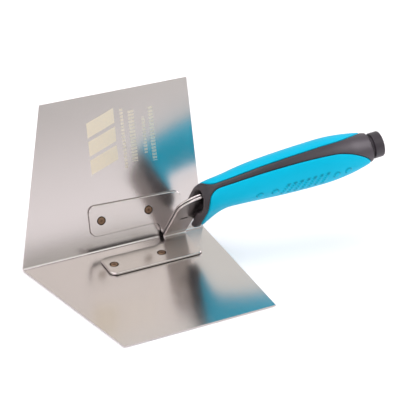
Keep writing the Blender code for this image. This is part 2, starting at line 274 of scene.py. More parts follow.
STEEL_DRIFT = 0.03                      # how far the steel's tone drifts either way
STEEL_CLOUD = 28 * MM
LINE_GLOSS, CLOUD_GLOSS = 0.03, 0.04    # how much the lines and the clouds change the roughness
LINE_DEPTH = 0.006 * MM
ETCHED_ROUGHNESS = 0.62
ETCHED_DEPTH = 1.5                      # in depths of a polishing line


def satin_steel(name, tone, roughness, grain_mm, grain_stretch, etching=None):
    """Stainless, belt polished along the fold and then rolled.

    Metallic, with a reflection blurred over a few degrees, faint lines along the polish and
    cloudy changes in gloss some centimetres across.  The real lines are finer than grain_mm and
    are drawn that coarse so that they show.
    """
    material, shader = new_material(name)
    along = object_place(material, scale=(1 / grain_stretch, 1, 1))
    lines = add_node(material, "ShaderNodeTexNoise", {"Vector": along, "Scale": 1 / (grain_mm * MM),
                                                      "Detail": 3.0, "Roughness": 0.6})
    clouds = add_node(material, "ShaderNodeTexNoise", {"Vector": object_place(material),
                                                       "Scale": 1 / STEEL_CLOUD, "Detail": 3.0,
                                                       "Roughness": 0.55})
    least = roughness - (LINE_GLOSS + CLOUD_GLOSS) / 2
    gloss = add_node(material, "ShaderNodeMath", (lines, LINE_GLOSS, least), operation="MULTIPLY_ADD")
    gloss = add_node(material, "ShaderNodeMath", (clouds, CLOUD_GLOSS, gloss),
                     operation="MULTIPLY_ADD")
    tones = scaled(tone, 1 - STEEL_DRIFT), scaled(tone, 1 + STEEL_DRIFT)
    base = add_node(material, "ShaderNodeMix", (clouds, *tones), data_type="RGBA")
    height = lines
    if etching:
        mask = etched_mask(material)
        base = add_node(material, "ShaderNodeMix", (mask, base, etching), data_type="RGBA")
        dull = add_node(material, "ShaderNodeMath", (mask, ETCHED_ROUGHNESS), operation="MULTIPLY")
        gloss = add_node(material, "ShaderNodeMath", (gloss, dull), operation="MAXIMUM")
        sunk = add_node(material, "ShaderNodeMath", (mask, ETCHED_DEPTH), operation="MULTIPLY")
        height = add_node(material, "ShaderNodeMath", (height, sunk), operation="SUBTRACT")
    bump = add_node(material, "ShaderNodeBump", {"Height": height, "Strength": 0.1,
                                                 "Distance": LINE_DEPTH})
    set_inputs(material, shader, {"Metallic": 1.0, "Base Color": base, "Roughness": gloss,
                                  "Normal": bump})
    return material


def between(material, value, low, high):
    """1 where the value lies in a band and 0 elsewhere."""
    above = add_node(material, "ShaderNodeMath", (value, low), operation="GREATER_THAN")
    below = add_node(material, "ShaderNodeMath", (value, high), operation="LESS_THAN")
    return add_node(material, "ShaderNodeMath", (above, below), operation="MULTIPLY")


ETCHED_HEIGHTS = (-0.3 * MM, 0.2 * MM)  # about the inner face, so that no other face is etched
BAR_SLANT = 0.35                        # rise of the bars for each length along the fold
BAR_START = 31.4 * MM
BAR_HALF_STEP = 6.0 * MM
BAR_GAP = 1.2 * MM
BAR_BLOCK_ALONG = (53 * MM, 72 * MM)
BAR_BLOCK_UP = (32.6 * MM, 67.4 * MM)
RULES = (                               # along, width, low end, high end (millimetres)
    (76.0, 2.2, 51, 90),
    (81.5, 4.0, 54, 88),
    (90.5, 2.2, 58, 82),
    (95.5, 3.2, 52, 88),
)
RULE_HALF_STEP = 1.1 * MM
RULE_GAP = 0.3 * MM
RULE_STRENGTH = 0.75
WEAR_GRAIN = 1.2 * MM
MOST_WORN = 0.55                        # share of the etching that is left where it is worn most


def etched_mask(material):
    """Plain slanted bars and plain rules on the inner face of the upright wing.

    The first axis runs along the fold from the toe and the second up the wing from the corner.
    """
    blade = bpy.context.scene.trowel_blade
    lean = blade.corner - pi / 2
    corner = Vector((-blade.fold_length / 2, blade.wing_width / 2, blade.sheet))
    to_wing = Matrix.Rotation(lean, 4, "X")
    place = object_place(material, location=-(to_wing @ corner), rotation=(lean, 0, 0))
    parts = add_node(material, "ShaderNodeSeparateXYZ", {"Vector": place})
    along, height, up = parts.outputs["X"], parts.outputs["Y"], parts.outputs["Z"]
    on_face = between(material, height, *ETCHED_HEIGHTS)
    slanted = add_node(material, "ShaderNodeMath", (along, -BAR_SLANT, up), operation="MULTIPLY_ADD")
    steps = add_node(material, "ShaderNodeMath", (slanted, BAR_START), operation="SUBTRACT")
    steps = add_node(material, "ShaderNodeMath", (steps, BAR_HALF_STEP), operation="PINGPONG")
    bars = between(material, steps, BAR_GAP, 2 * BAR_HALF_STEP)
    block = add_node(material, "ShaderNodeMath", (between(material, along, *BAR_BLOCK_ALONG),
                                                  between(material, slanted, *BAR_BLOCK_UP)),
                     operation="MULTIPLY")
    bars = add_node(material, "ShaderNodeMath", (bars, block), operation="MULTIPLY")
    rules = 0.0
    for start, width, low, high in RULES:
        rule = add_node(material, "ShaderNodeMath",
                        (between(material, along, start * MM, (start + width) * MM),
                         between(material, up, low * MM, high * MM)), operation="MULTIPLY")
        rules = add_node(material, "ShaderNodeMath", (rules, rule), operation="MAXIMUM")
    dashes = add_node(material, "ShaderNodeMath", (up, RULE_HALF_STEP), operation="PINGPONG")
    dashes = add_node(material, "ShaderNodeMath", (dashes, RULE_GAP), operation="GREATER_THAN")
    rules = add_node(material, "ShaderNodeMath", (rules, dashes), operation="MULTIPLY")
    rules = add_node(material, "ShaderNodeMath", (rules, RULE_STRENGTH), operation="MULTIPLY")
    marks = add_node(material, "ShaderNodeMath", (bars, rules), operation="MAXIMUM")
    wear = add_node(material, "ShaderNodeTexNoise", {"Vector": object_place(material),
                                                     "Scale": 1 / WEAR_GRAIN, "Detail": 2.0})
    faded = add_node(material, "ShaderNodeMapRange", {"Value": wear, "To Min": MOST_WORN,
                                                      "To Max": 1.0})
    marks = add_node(material, "ShaderNodeMath", (marks, on_face), operation="MULTIPLY")
    return add_node(material, "ShaderNodeMath", (marks, faded), operation="MULTIPLY")


RIVET_RIM = (0.74, 0.86)                # shares of the radius over which the rim turns dark
RIVET_HOLLOW = (0.34, 0.2)              # and the middle, inwards
HOLLOW_STRENGTH = 0.6
RIVET_GRIT = 0.7 * MM
RIVET_PITS = 0.05 * MM


def bronzed_rivet(tone):
    """Brass, bronzed dark and ground flush: brownish, dull, with cloudy wear in the dark."""
    material, shader = new_material("brass, bronzed dark and ground flush")
    grit = add_node(material, "ShaderNodeTexNoise", {"Vector": object_place(material),
                                                     "Scale": 1 / RIVET_GRIT, "Detail": 4.0})
    reach = add_node(material, "ShaderNodeAttribute", attribute_name="reach").outputs["Fac"]
    rim, hollow = (add_node(material, "ShaderNodeMapRange", {"Value": reach, "From Min": start,
                                                             "From Max": end})
                   for start, end in (RIVET_RIM, RIVET_HOLLOW))
    hollow = add_node(material, "ShaderNodeMath", (hollow, HOLLOW_STRENGTH), operation="MULTIPLY")
    dark = add_node(material, "ShaderNodeMath", (rim, hollow), operation="MAXIMUM")
    worn = add_node(material, "ShaderNodeMix", (grit, scaled(tone, 0.5), scaled(tone, 1.5)),
                    data_type="RGBA")
    base = add_node(material, "ShaderNodeMix", (dark, worn, scaled(tone, 0.12)), data_type="RGBA")
    gloss = add_node(material, "ShaderNodeMapRange", {"Value": grit, "To Min": 0.34,
                                                      "To Max": 0.56})
    bump = add_node(material, "ShaderNodeBump", {"Height": grit, "Strength": 0.3,
                                                 "Distance": RIVET_PITS})
    set_inputs(material, shader, {"Metallic": 1.0, "Base Color": base, "Roughness": gloss,
                                  "Normal": bump})
    return material


DRIFT_SIZE = 22 * MM
PEBBLE_GLOSS = 0.12                     # how much the pebbles change the roughness
PAINTED_FLANK_SHADE_TONE = 0.35                      # tone of the painted shade on the raised marks' flanks, as a share of the skin's
PAINTED_REAR_SHEEN = (85 * MM, 140 * MM)     # painted highlight: where along X the tone grows lighter towards the rear, for the sheen of light caught there


def moulded_plastic(name, tone, roughness, grain_mm, depth_mm, shine, cloud=0.06, painted_flank_shading=0.0,
                    rear=0.0):
    """Injection-moulded plastic or rubber from a spark-eroded mould.

    A fine pebbled skin gives a broad soft highlight; the tone drifts slightly over centimetres.
    The real pebbles are finer than grain_mm and are drawn that coarse so that they show.
    """
    material, shader = new_material(name)
    pebbles = add_node(material, "ShaderNodeTexNoise", {"Vector": object_place(material),
                                                        "Scale": 1 / (grain_mm * MM),
                                                        "Detail": 2.0, "Roughness": 0.6})
    drift = add_node(material, "ShaderNodeTexNoise", {"Vector": object_place(material),
                                                      "Scale": 1 / DRIFT_SIZE, "Detail": 2.0})
    tones = scaled(tone, 1 - cloud), scaled(tone, 1 + cloud)
    base = add_node(material, "ShaderNodeMix", (drift, *tones), data_type="RGBA")
    # painted shade: the flanks of the raised marks are darkened, for the shade on their slopes
    if painted_flank_shading:
        painted_flank_shade = add_node(material, "ShaderNodeAttribute", attribute_name="painted_flank_shade").outputs["Fac"]
        painted_flank_shade = add_node(material, "ShaderNodeMath", (painted_flank_shade, painted_flank_shading), operation="MULTIPLY")
        base = add_node(material, "ShaderNodeMix", (painted_flank_shade, base, scaled(tone, PAINTED_FLANK_SHADE_TONE)),
                        data_type="RGBA")
    # painted highlight: the tone grows lighter towards the rear, for the sheen of light caught there
    if rear:
        parts = add_node(material, "ShaderNodeSeparateXYZ", {"Vector": object_place(material)})
        share = add_node(material, "ShaderNodeMapRange", {"Value": parts.outputs["X"],
                                                          "From Min": PAINTED_REAR_SHEEN[0],
                                                          "From Max": PAINTED_REAR_SHEEN[1]})
        base = add_node(material, "ShaderNodeMix", (share, base, scaled(tone, rear)),
                        data_type="RGBA")
    gloss = add_node(material, "ShaderNodeMath", (pebbles, PEBBLE_GLOSS, roughness - PEBBLE_GLOSS / 2),
                     operation="MULTIPLY_ADD")
    bump = add_node(material, "ShaderNodeBump", {"Height": pebbles, "Strength": 0.5,
                                                 "Distance": depth_mm * MM})
    set_inputs(material, shader, {"Specular IOR Level": shine, "Base Color": base,
                                  "Roughness": gloss, "Normal": bump})
    return material


# ---------------------------------------------------------------- blade

FOLD_STEPS = 12


def blade_section():
    """Inner face of the folded sheet across X, from the lower edge to the upper one."""
    blade = bpy.context.scene.trowel_blade
    centre = blade.fold_radius / sin(half_corner())
    sweep = pi / 2 - half_corner()
    arc = []
    for step in range(FOLD_STEPS + 1):
        angle = sweep * (2 * step / FOLD_STEPS - 1)
        arc.append(Vector((0, blade.fold_radius * sin(angle),
                           centre - blade.fold_radius * cos(angle))))
    return [wing_outward(-1) * blade.wing_width, *arc, wing_outward(1) * blade.wing_width]


RIVET_ALONG = (54.4, 87.5)
RIVET_SHIFT = 0.9                       # upper pair nearer the heel, lower pair nearer the toe
RIVET_ACROSS = 20.6
GAP = 0.2 * MM


def rivet_places():
    """Side, end name, place along X for the four rivets."""
    for side in (1, -1):
        for end, along in zip(("toe", "heel"), RIVET_ALONG):
            yield side, end, (along + side * RIVET_SHIFT) * MM


def rivet_holes(sides):
    sizes = bpy.context.scene.trowel_brackets
    for side, end, along in rivet_places():
        if side in sides:
            low = on_wing(side, along, RIVET_ACROSS * MM, -3 * MM)
            high = on_wing(side, along, RIVET_ACROSS * MM, 4 * MM)
            yield rod(f"hole {side} {end}", sizes.rivet_radius + 0.1 * MM, low, high)


class TROWEL_OT_blade(bpy.types.Operator):
    """Fold the stainless sheet into two wings"""
    bl_idname = "trowel.blade"
    bl_label = "Blade"

    def execute(self, context):
        sizes, _, _, finishes = scene_sizes()
        bm = bmesh.new()
        toe = []
        for point in blade_section():
            share = point.length / sizes.wing_width
            toe.append(bm.verts.new(point + Vector((sizes.toe_taper * share, 0, 0))))
        edges = [bm.edges.new(pair) for pair in zip(toe, toe[1:])]
        heel = bmesh.ops.extrude_edge_only(bm, edges=edges)["geom"]
        for vert in heel:
            if isinstance(vert, bmesh.types.BMVert):
                share = hypot(vert.co.y, vert.co.z) / sizes.wing_width
                vert.co.x = sizes.fold_length - sizes.heel_taper * share
        blade = add_object("blade_sheet", bm)
        sheet = blade.modifiers.new("sheet", "SOLIDIFY")
        sheet.thickness = sizes.sheet
        sheet.use_even_offset = True
        outside = blade.data.polygons[0].normal.dot(wing_normal(-1)) < 0
        sheet.offset = 1 if outside else -1
        soften_edges(blade, sizes.edge, 2, 60)
        cut(blade, list(rivet_holes((1, -1))))
        steel = satin_steel("stainless sheet, belt polished and rolled", tuple(finishes.steel),
                            0.21, 0.35, 12, tuple(finishes.etching))
        finish_piece(blade, steel, "blade")
        return {"FINISHED"}


# ---------------------------------------------------------------- brackets

TANG_LEAN = radians(6.5)
TANG_TURN_CENTRE = (109.0 * MM, 44.8 * MM)
TANG_TURN_RADIUS = 16.3 * MM
TANG_SLOPE = radians(13)
TANG_TIP = 165 * MM
TANG_TIP_WIDTH = 9 * MM
TANG_INNER_CORNER = (113 * MM, 46.5 * MM)
FLANGE_FAR = {1: 31.2 * MM, -1: 31.0 * MM}
FLANGE_DROP = {1: 2.2 * MM, -1: 0.2 * MM}      # how much nearer the far edge is at the heel


def arc_points(centre, radius, start, end, steps):
    points = []
    for step in range(steps + 1):
        angle = start + (end - start) * step / steps
        points.append((centre[0] + radius * cos(angle), centre[1] + radius * sin(angle)))
    return points


def tang_outline(base, grow=0.0):
    """Tang outline in the plane of X and Z, from the neck's toe side round to its heel side."""
    sizes = bpy.context.scene.trowel_brackets
    lean = pi - TANG_LEAN * 0.9
    top = pi / 2 + TANG_SLOPE
    outer = arc_points(TANG_TURN_CENTRE, TANG_TURN_RADIUS + grow, lean, top, 18)
    run = TANG_TIP + grow - outer[-1][0]
    tip_top = (TANG_TIP + grow, outer[-1][1] + run * tan(TANG_SLOPE))
    tip_bottom = (TANG_TIP + grow, tip_top[1] - TANG_TIP_WIDTH - 2 * grow)
    inner = (TANG_INNER_CORNER[0], TANG_INNER_CORNER[1] - grow)
    heel_top = (TANG_INNER_CORNER[0] - 3 * MM + grow, TANG_INNER_CORNER[1] - 4 * MM)
    return [(sizes.neck_start - grow, base), *outer, tip_top, tip_bottom, inner, heel_top,
            (sizes.flange_end + grow, base)]


def flange_outline(side, fold):
    """Flange outline as (along, across), from the neck's heel side round to its toe side."""
    sizes = bpy.context.scene.trowel_brackets
    corner = sizes.flange_corner
    far = FLANGE_FAR[side] - corner
    near = sizes.flange_near + corner
    notch = sizes.flange_near - fold
    toe = sizes.flange_start + corner
    heel = sizes.flange_end - corner
    outline = arc_points((heel, far - FLANGE_DROP[side]), corner, 0, pi / 2, 10)
    outline += arc_points((toe, far), corner, pi / 2, pi, 10)
    outline += arc_points((toe, near), corner, pi, 1.5 * pi, 10)
    outline += arc_points((sizes.neck_start - notch, fold), notch, pi / 2, 0, 8)[:-1]
    return outline


def bracket_plate(name, side):
    """The face that looks into the corner is drawn flat, folded at the neck and thickened."""
    sizes = bpy.context.scene.trowel_brackets
    top = GAP + sizes.plate
    face = side * (sizes.plate + 0.1 * MM)
    rise = top + sizes.fold_radius
    centre_y = face + side * sizes.fold_radius
    across = (rise * cos(half_corner()) + abs(centre_y)) / sin(half_corner())
    centre = on_wing(side, 0, across, rise)
    bm = bmesh.new()
    tang = [bm.verts.new((x, face, z)) for x, z in tang_outline(centre.z)]
    bm.faces.new(tang)
    fold_edge = bm.edges.get((tang[-1], tang[0]))
    swept = bmesh.ops.spin(bm, geom=[fold_edge, tang[0], tang[-1]], cent=centre, axis=(1, 0, 0),
                           dvec=(0, 0, 0), angle=side * (pi - half_corner()), steps=12,
                           use_duplicate=False)
    ends = [v for v in swept["geom_last"] if isinstance(v, bmesh.types.BMVert)]
    ends.sort(key=lambda vert: vert.co.x)
    flange = [bm.verts.new(on_wing(side, x, y, top)) for x, y in flange_outline(side, across)]
    bm.faces.new([ends[1], *flange, ends[0]])
    bracket = add_object(name, bm)
    plate = bracket.modifiers.new("plate", "SOLIDIFY")
    plate.thickness = sizes.plate
    plate.use_even_offset = True
    flat = max(bracket.data.polygons, key=lambda polygon: polygon.area)
    towards_corner = flat.normal.dot(Vector((0, side, 0))) > 0
    if abs(flat.normal.y) < 0.99:
        towards_corner = flat.normal.dot(wing_normal(side)) > 0
    plate.offset = -1 if towards_corner else 1
    soften_edges(bracket, sizes.edge, 3, 40)
    return bracket


DASH_ALONG, DASH_RISE = 102.4 * MM, 30.8 * MM
DASH_SIZE = (5.2 * MM, 0.7 * MM, 1.9 * MM)
DASH_TURN = radians(-8)
DASH_REACH = 2.8 * MM                   # faces this near the dash's centre can be its bottom
DASH_HEIGHTS = (-1.55 * MM, -0.5 * MM)  # where its bottom lies across the tang


def stamped_dash():
    """Short tally mark struck into the outer face of the lower tang."""
    face = -bpy.context.scene.trowel_brackets.plate - 0.1 * MM
    bm = bmesh.new()
    place = Matrix.LocRotScale((DASH_ALONG, face, DASH_RISE), Euler((0, DASH_TURN, 0)),
                               DASH_SIZE)
    bmesh.ops.create_cube(bm, size=1, matrix=place)
    return add_object("cut dash", bm)


FLANGE_HEIGHT = 2.2 * MM                # faces higher than this above a wing belong to the tang
NEAR_EDGE_REACH = 12 * MM
FACES_AWAY = -0.6                       # cosine past which a face is hidden and a bevel is not
NEAR_EDGE_FACES = -0.45


def takes_painted_shade(face, side):
    """True for the faces painted dark as shade: hidden faces, the near edge, where shadow falls under
    it, and the sunk bottom of the dash.
    """
    outward, inward = wing_outward(side), wing_normal(side)
    sunk = DASH_HEIGHTS[0] < face.center.y < DASH_HEIGHTS[1]
    from_dash = hypot(face.center.x - DASH_ALONG, face.center.z - DASH_RISE)
    if side < 0 and sunk and from_dash < DASH_REACH:
        return True
    spot = Vector((0, face.center.y, face.center.z))
    if spot.dot(inward) > FLANGE_HEIGHT:
        return face.normal.y * side < FACES_AWAY
    at_near_edge = spot.dot(outward) < NEAR_EDGE_REACH
    near_edge = at_near_edge and face.normal.dot(outward) < NEAR_EDGE_FACES
    return near_edge or face.normal.dot(inward) < FACES_AWAY


class TROWEL_OT_brackets(bpy.types.Operator):
    """Fold the two bracket plates and drill them for their rivets"""
    bl_idname = "trowel.brackets"
    bl_label = "Brackets"

    def execute(self, context):
        _, _, _, finishes = scene_sizes()
        steel = satin_steel("stainless plate, tumbled", tuple(finishes.plate_steel), 0.22, 0.5, 6)
        # near-black steel as painted shade: hidden faces, the shadowed near edges and the bottom of
        # the sunk dash
        scale = satin_steel("stainless plate, painted shade", scaled(finishes.plate_steel, 0.12),
                            0.5, 0.5, 2)
        for word, side in (("upper", 1), ("lower", -1)):
            bracket = bracket_plate(f"bracket_{word}_plate", side)
            cutters = list(rivet_holes((side,)))
            if side < 0:
                cutters.append(stamped_dash())
            cut(bracket, cutters)
            finish_piece(bracket, steel, f"bracket_{word}", second=scale,
                         is_second=lambda face, side=side: takes_painted_shade(face, side))
        return {"FINISHED"}


class TROWEL_OT_rivets(bpy.types.Operator):
    """Set the four rivets, ground flush with a shallow ring round each head"""
    bl_idname = "trowel.rivets"
    bl_label = "Rivets"

    def execute(self, context):
        blade, sizes, _, finishes = scene_sizes()
        bronze = bronzed_rivet(tuple(finishes.bronze))
        top = GAP + sizes.plate
        radius = sizes.rivet_radius - 0.05 * MM
        profile = ((0.0, top + 0.12 * MM), (1.1 * MM, top + 0.1 * MM), (1.75 * MM, top + 0.05 * MM),
                   (2.0 * MM, top - 0.12 * MM), (2.25 * MM, top - 0.02 * MM),
                   (radius - 0.15 * MM, top), (radius, top - 0.15 * MM),
                   (radius, 0.1 * MM - blade.sheet), (radius - 0.1 * MM, -blade.sheet),
                   (0.0, -blade.sheet))
        for side, end, along in rivet_places():
            bm = bmesh.new()
            verts = [bm.verts.new((r, 0, z)) for r, z in profile]
            edges = [bm.edges.new(pair) for pair in zip(verts, verts[1:])]
            bmesh.ops.spin(bm, geom=verts + edges, cent=(0, 0, 0), axis=(0, 0, 1),
                           dvec=(0, 0, 0), angle=2 * pi, steps=40, use_merge=True,
                           use_duplicate=False)
            bmesh.ops.remove_doubles(bm, verts=bm.verts, dist=0.001 * MM)
            reach = bm.verts.layers.float.new("reach")
            for vert in bm.verts:
                vert[reach] = hypot(vert.co.x, vert.co.y) / radius
            facing = wing_normal(side).to_track_quat("Z", "Y").to_matrix().to_4x4()
            place = Matrix.Translation(on_wing(side, along, RIVET_ACROSS * MM)) @ facing
            bmesh.ops.transform(bm, matrix=place, verts=bm.verts)
            word = "upper" if side > 0 else "lower"
            finish_piece(add_object(f"rivet_{word}_{end}_head", bm), bronze,
                         f"rivet_{word}_{end}")
        return {"FINISHED"}


# ---------------------------------------------------------------- handle

# Sections across X.  Columns: place along X, bottom, widest height, top, half width, squareness
# of the lower half, lean of the section (all but the last two in millimetres)
HANDLE_SECTIONS = (
    (106.2, 23.5, 50.0, 65.2, 9.3, 4.2, 0.09),
    (108.0, 22.5, 52.0, 68.6, 9.7, 4.2, 0.09),
    (111.0, 23.0, 54.5, 71.7, 9.7, 3.8, 0.07),
    (114.0, 28.5, 57.5, 73.6, 9.6, 3.0, 0.05),
    (117.5, 38.5, 60.0, 74.9, 9.6, 2.5, 0.03),
    (122.0, 45.5, 62.2, 76.4, 9.9, 2.2, 0.02),
    (130.0, 49.0, 65.0, 79.3, 10.8, 2.2, 0.04),
    (141.0, 51.5, 67.0, 82.9, 11.8, 2.2, 0.08),
    (158.0, 54.0, 68.8, 87.0, 12.9, 2.2, 0.12),
    (175.0, 57.0, 71.2, 90.0, 13.6, 2.2, 0.16),
    (190.0, 60.5, 73.8, 91.6, 13.8, 2.2, 0.19),
    (202.5, 64.5, 76.4, 90.6, 12.8, 2.2, 0.20),
    (212.0, 68.5, 78.6, 88.7, 11.2, 2.2, 0.20),
    (218.8, 71.0, 79.9, 87.4, 9.5, 2.1, 0.20),
)
HANDLE_START = HANDLE_SECTIONS[0][0] * MM
HANDLE_END = HANDLE_SECTIONS[-1][0] * MM
CORE_LOOPS = 150
CORE_ROUND = 96
CORE_VOXEL = 0.42 * MM

GRIP_GAP = 0.25 * MM
GRIP_FRONT = 108.8 * MM
GRIP_FRONT_ROUND = 5.5 * MM
GRIP_GUARD_SETBACK = 4.8 * MM
GRIP_GUARD_SHARE = 0.5
GRIP_REAR = 190 * MM
GRIP_REAR_ROUND = 27 * MM
GRIP_ROWS = 190
GRIP_COLUMNS = 150
STRIPE_HALF_ANGLE = radians(12)
STRIPE_WIDEN_ANGLE = radians(5)

HOOD_BOTTOM = 39 * MM
HOOD_MIDDLE = 50.8 * MM
HOOD_TOP = 63.0 * MM
HOOD_LOOPS = (                          # share of the depth, of the height, of the width
    (0.0, 1.0, 1.0),
    (0.13, 0.93, 0.76),
    (0.65, 0.76, 0.62),
    (1.0, 0.52, 0.42),
)
HOOD_OVERRUN = 4 * MM                   # how far its cutter stands out of the mouth
SLOT_END = 111.6 * MM


def section_at(along):
    """Section values at a place along X, blended smoothly between the listed sections."""
    rows = HANDLE_SECTIONS
    spot = min(max(along / MM, rows[0][0]), rows[-1][0])
    index = max(i for i in range(len(rows) - 1) if rows[i][0] <= spot)
    left, right = rows[index], rows[index + 1]
    before, after = rows[max(index - 1, 0)], rows[min(index + 2, len(rows) - 1)]
    width = right[0] - left[0]
    t = (spot - left[0]) / width
    values = []
    for column in range(1, 7):
        slope_left = (right[column] - before[column]) / (right[0] - before[0]) * width
        slope_right = (after[column] - left[column]) / (after[0] - left[0]) * width
        value = (2 * t**3 - 3 * t**2 + 1) * left[column] + (t**3 - 2 * t**2 + t) * slope_left
        value += (3 * t**2 - 2 * t**3) * right[column] + (t**3 - t**2) * slope_right
        values.append(value)
    bottom, middle, top, half_width, lower_squareness, lean = values
    return bottom * MM, middle * MM, top * MM, half_width * MM, lower_squareness, lean


def handle_point(along, angle, inset=0.0, section=None):
    """Point on the handle's skin; the angle starts at the palm side and inset goes inwards."""
    bottom, middle, top, half_width, squareness, lean = section or section_at(along)
    up, across = cos(angle), sin(angle)
    power = 2 / (2.0 if up >= 0 else squareness)
    height = (top - middle if up >= 0 else middle - bottom) - inset
    rise = height * abs(up) ** power * (1 if up >= 0 else -1)
    side = (half_width - inset) * abs(across) ** power * (1 if across >= 0 else -1)
    return Vector((along - rise * lean, side, middle + rise))


def loft(place, loops, around):
    """Extrude a ring from loop to loop; place(loop, angle) says where each vertex goes."""
    bm = bmesh.new()
    angles = bm.verts.layers.float.new("angle")
    ring = bmesh.ops.create_circle(bm, cap_ends=True, segments=around, radius=1)["verts"]
    for index, vert in enumerate(ring):
        vert[angles] = 2 * pi * index / around
        vert.co = place(0, vert[angles])
    edges = [edge for edge in bm.edges if len(edge.link_faces) == 1]
    for loop in range(1, loops):
        grown = bmesh.ops.extrude_edge_only(bm, edges=edges)["geom"]
        for vert in grown:
            if isinstance(vert, bmesh.types.BMVert):
                vert.co = place(loop, vert[angles])
        edges = [e for e in grown if isinstance(e, bmesh.types.BMEdge) and len(e.link_faces) == 1]
    bmesh.ops.contextual_create(bm, geom=edges)
    return bm


def grip_border(reach):
    """Front and rear limits of the grip skin; reach is 0 on the finger side, 1 at the stripe."""
    guard = max(0.0, 1 - (reach / GRIP_GUARD_SHARE) ** 2) ** 2
    front = GRIP_FRONT + GRIP_FRONT_ROUND * (1 - (1 - reach**12) ** 0.5)
    front += GRIP_GUARD_SETBACK * guard
    rear = GRIP_REAR + GRIP_REAR_ROUND * (1 - reach**6) ** 0.5
    return front, rear


def grip_solid(rows, columns, point):
    """A curved sheet with an inner and an outer face; point(along, around, outer) places it."""
    bm = bmesh.new()
    along = bm.verts.layers.float.new("along")
    around = bm.verts.layers.float.new("around")
    inner = bmesh.ops.create_grid(bm, x_segments=rows, y_segments=columns, size=1)["verts"]
    for vert in inner:
        share = (vert.co.x + 1) / 2
        # rows crowd towards both ends and columns towards the stripe, where the border is round
        vert[along] = share - 0.14 * sin(2 * pi * share) / (2 * pi) * 4
        vert[around] = vert.co.y * (1.45 - 0.45 * vert.co.y**2)
    grown = bmesh.ops.extrude_face_region(bm, geom=list(bm.faces))["geom"]
    outer = {v for v in grown if isinstance(v, bmesh.types.BMVert)}
    for vert in bm.verts:
        share = min(1.0, max(0.0, vert[along]))
        reach = max(-1.0, min(1.0, vert[around]))
        vert.co = point(share, reach, vert in outer)
    return bm


def grip_place(along_share, around_share, spread_by):
    """Place along X, angle round the handle, section, and the distances to the skin's border."""
    reach = abs(around_share)
    front, rear = grip_border(reach)
    front -= spread_by
    rear += spread_by
    along = front + (rear - front) * along_share
    section = section_at(along)
    widen = max(0.0, (along - HANDLE_START) / (GRIP_REAR - HANDLE_START)) ** 4
    stripe = STRIPE_HALF_ANGLE + STRIPE_WIDEN_ANGLE * widen - spread_by / section[3]
    angle = pi - around_share * (pi - stripe)
    to_end = min(along - front, rear - along)
    to_stripe = (1 - reach) * (pi - stripe) * section[3]
    return along, angle, section, to_end, to_stripe


EMBOSS_ANGLE = radians(282)
EMBOSS_ALONG = (136, 203)               # where the marks lie along X (millimetres)
EMBOSS_RADIUS = 13.0                    # of the grip there, which turns an angle into a length
EMBOSS_LEAN, EMBOSS_LEAN_FROM = 0.025, 141
EMBOSS_STUDS = (139, 149, 191, 199)
STUD_RADIUS = 2.5
STUD_STEEPNESS = 3                      # a stud is at full height at two thirds of its radius
EMBOSS_BARS = (156, 160.5, 165, 169.5, 174, 178.5, 183)
BAR_HALF_WIDTH, BAR_HALF_LENGTH = 1.25, 4.2
BAR_LEAN = 0.45
BAR_STEEPNESS = 2.2


def emboss_height(along, angle):
    """Plain raised bars and studs in one row on the side that faces the lying wing."""
    x = along / MM
    if not EMBOSS_ALONG[0] < x < EMBOSS_ALONG[1]:
        return 0.0
    # millimetres round the handle from the row's middle line
    low = (angle - EMBOSS_ANGLE) * EMBOSS_RADIUS - (x - EMBOSS_LEAN_FROM) * EMBOSS_LEAN
    best = 0.0
    for centre in EMBOSS_STUDS:
        reach = hypot((x - centre) / STUD_RADIUS, low / STUD_RADIUS)
        best = max(best, min(1.0, max(0.0, (1 - reach) * STUD_STEEPNESS)))
    for centre in EMBOSS_BARS:
        shift = x - centre - low * BAR_LEAN
        edge = max(abs(shift) / BAR_HALF_WIDTH, abs(low) / BAR_HALF_LENGTH)
        best = max(best, min(1.0, max(0.0, (1 - edge) * BAR_STEEPNESS)))
    return best


def place_key(point):
    """A place rounded to a hundredth of a millimetre."""
    return tuple(round(value / (0.01 * MM)) for value in point)


class TROWEL_OT_grip(bpy.types.Operator):
    """Mould the soft skin with a rounded border and low raised marks"""
    bl_idname = "trowel.grip"
    bl_label = "Grip"

    def execute(self, context):
        _, _, sizes, finishes = scene_sizes()
        thick, proud, edge = sizes.grip_thick, sizes.grip_proud, sizes.grip_edge
        painted_flank_shading = {}                     # how steep a raised mark is, which sets the painted shade on its flanks, by the place of its vertex

        def point(along_share, around_share, outer):
            along, angle, section, to_end, to_stripe = grip_place(along_share, around_share, 0)
            if not outer:
                return handle_point(along, angle, thick, section)
            border = min(to_end, to_stripe)
            drop = 0.0
            if border < edge:
                drop = 0.75 * edge * (1 - (1 - (1 - border / edge) ** 2) ** 0.5)
            raised = emboss_height(along, angle)
            spot = handle_point(along, angle, drop - proud - sizes.emboss * raised, section)
            # painted shade goes on the raised marks' flanks, strongest halfway up them
            if 0 < raised < 1:
                painted_flank_shading[place_key(spot)] = 4 * raised * (1 - raised)
            return spot

        bm = grip_solid(GRIP_ROWS, GRIP_COLUMNS, point)
        painted_flank_shade = bm.verts.layers.float.new("painted_flank_shade")
        for vert in bm.verts:
            vert[painted_flank_shade] = painted_flank_shading.get(place_key(vert.co), 0.0)
        grip = add_object("grip_skin", bm)
        # the last argument, 0.8, is the strength of the painted shade on the raised marks' flanks
        blue = moulded_plastic("soft grip rubber, satin moulded", tuple(finishes.blue), 0.42,
                               0.45, 0.02, 0.08, 0.03, 0.8)
        finish_piece(grip, blue, "grip_sleeve", sharp=60)
        return {"FINISHED"}


